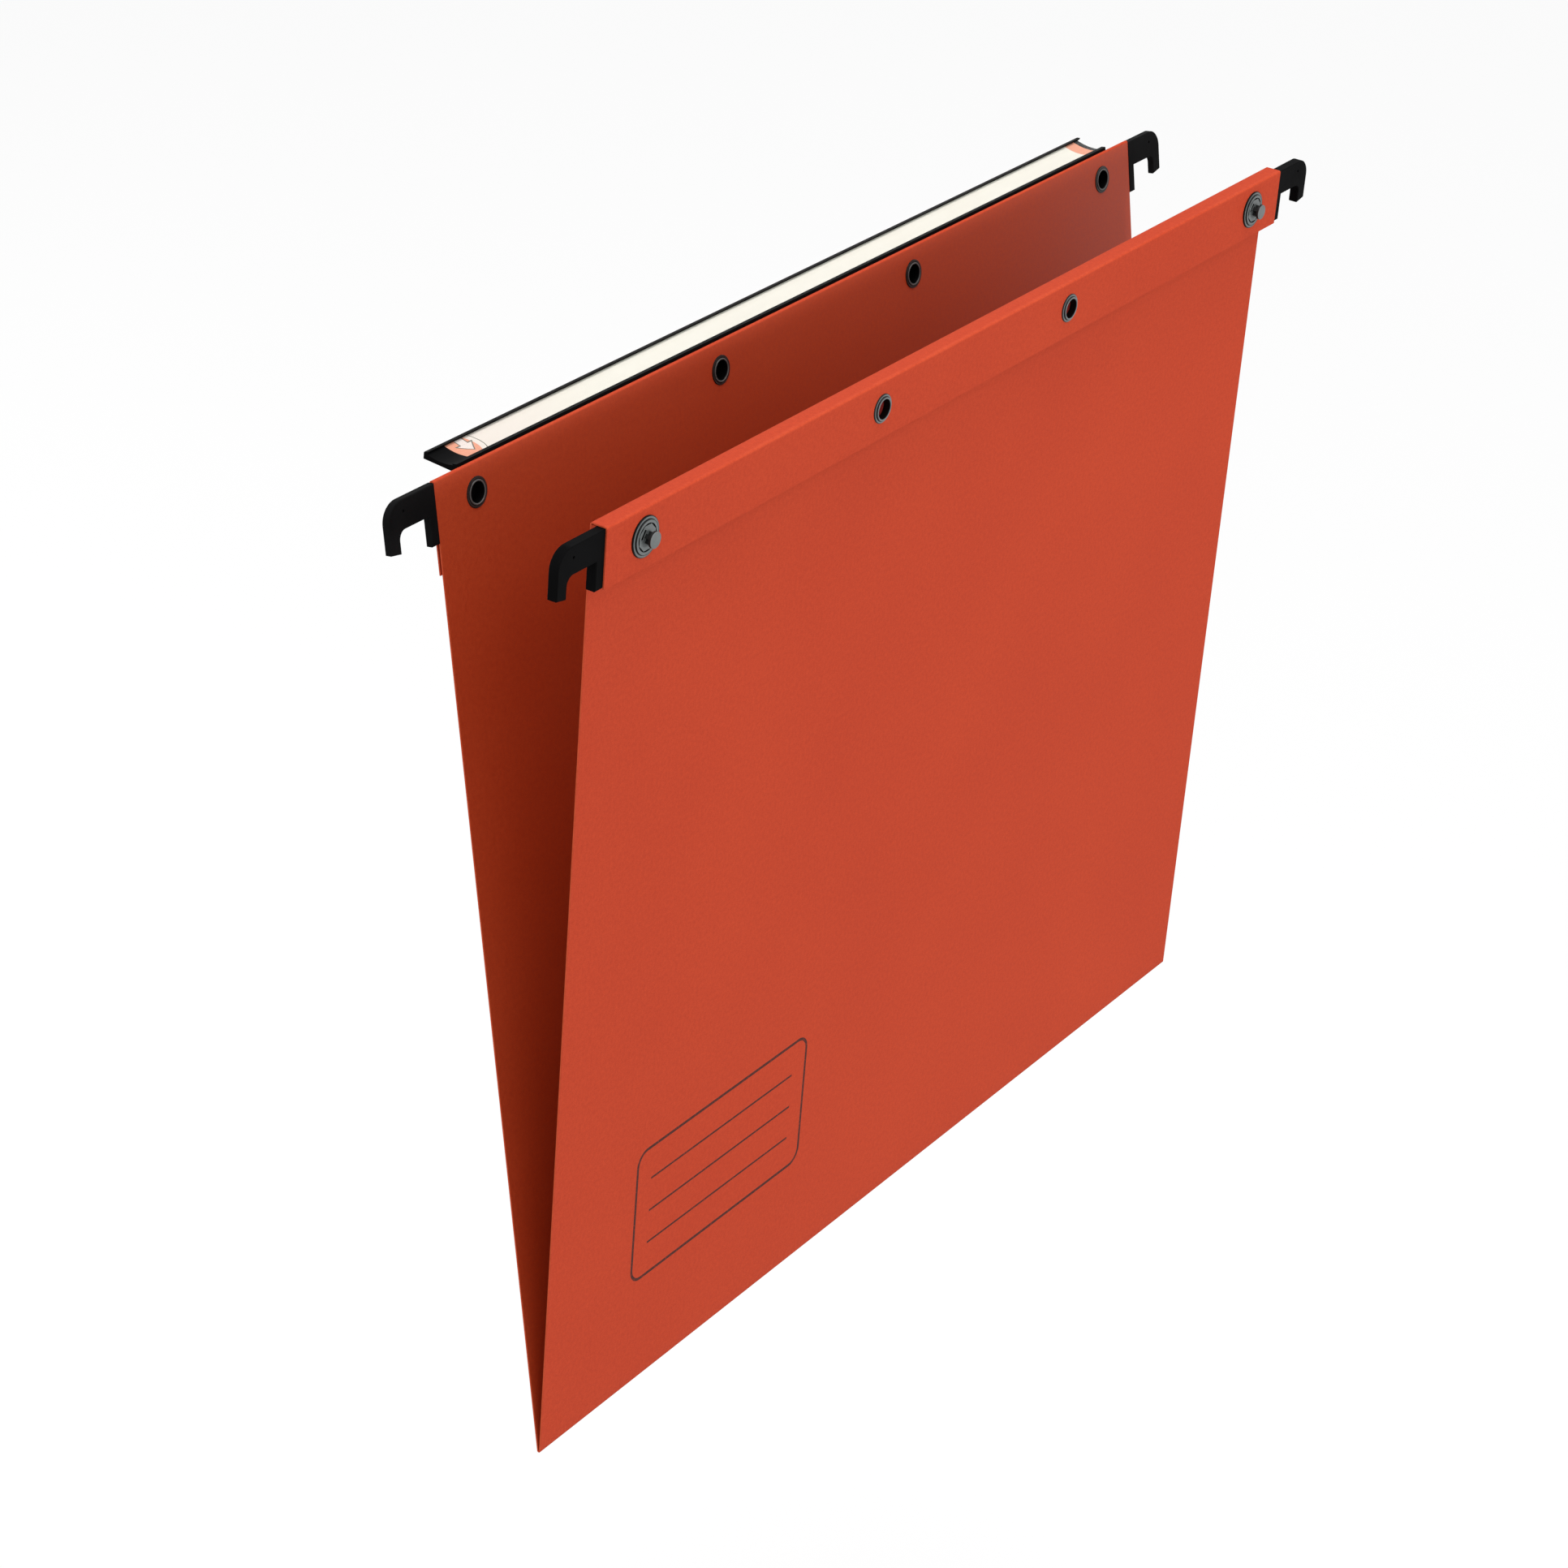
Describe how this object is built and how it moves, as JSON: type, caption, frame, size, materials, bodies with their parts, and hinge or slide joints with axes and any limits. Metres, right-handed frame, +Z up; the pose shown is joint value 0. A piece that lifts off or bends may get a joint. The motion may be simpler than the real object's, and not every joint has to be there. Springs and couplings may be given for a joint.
{
  "type": "hanging file folder",
  "caption": "Suspension file folder: a folded card sheet on two hooked bars, with press studs, eyelets and a full-length label holder; opens at the bottom crease.",
  "frame": {"origin": "midway between the four hook notches, at the height of their seats, where the drawer rails carry the folder", "axes": "+X along the bars to the open end of the label holder, -Y out of the front leaf with the press studs, +Z up"},
  "size_m": [0.344, 0.0609, 0.2505],
  "materials": {
    "card": "matt orange-red kraft card",
    "bar_steel": "plain cold-rolled strip",
    "black_plastic": "satin moulded black",
    "clear_plastic": "clear extruded strip",
    "label_paper": "uncoated cream paper with printed ends",
    "gunmetal": "gunmetal-plated steel"
  },
  "bodies": {
    "rear": {"rear_leaf": "card", "rear_bar": "bar_steel", "rear_left_hook": "black_plastic", "rear_right_hook": "black_plastic", "label_holder": "black_plastic", "label_lens": "clear_plastic", "label_stop": "black_plastic", "rear_outer_left_eyelet": "gunmetal", "rear_outer_left_washer": "gunmetal", "rear_inner_left_eyelet": "gunmetal", "rear_inner_left_washer": "gunmetal", "rear_inner_right_eyelet": "gunmetal", "rear_inner_right_washer": "gunmetal", "rear_outer_right_eyelet": "gunmetal", "rear_outer_right_washer": "gunmetal"},
    "front": {"front_leaf": "card", "front_stiffener": "card", "front_bar": "bar_steel", "front_left_hook": "black_plastic", "front_right_hook": "black_plastic", "left_press_stud": "gunmetal", "right_press_stud": "gunmetal", "left_stud_rivet": "gunmetal", "right_stud_rivet": "gunmetal", "front_left_eyelet": "gunmetal", "front_left_washer": "gunmetal", "front_right_eyelet": "gunmetal", "front_right_washer": "gunmetal"},
    "label": {"label_strip": "label_paper"}
  },
  "joints": [
    {"name": "crease_fold", "type": "hinge", "parent": "rear", "child": "front", "pos_m": [0, 0, -0.24166], "axis": [1, 0, 0], "range_deg": [-9.4, 170.1]},
    {"name": "label_slide", "type": "slide", "parent": "rear", "child": "label", "axis": [1, 0, 0], "range_m": [0, 0.286]}
  ]
}
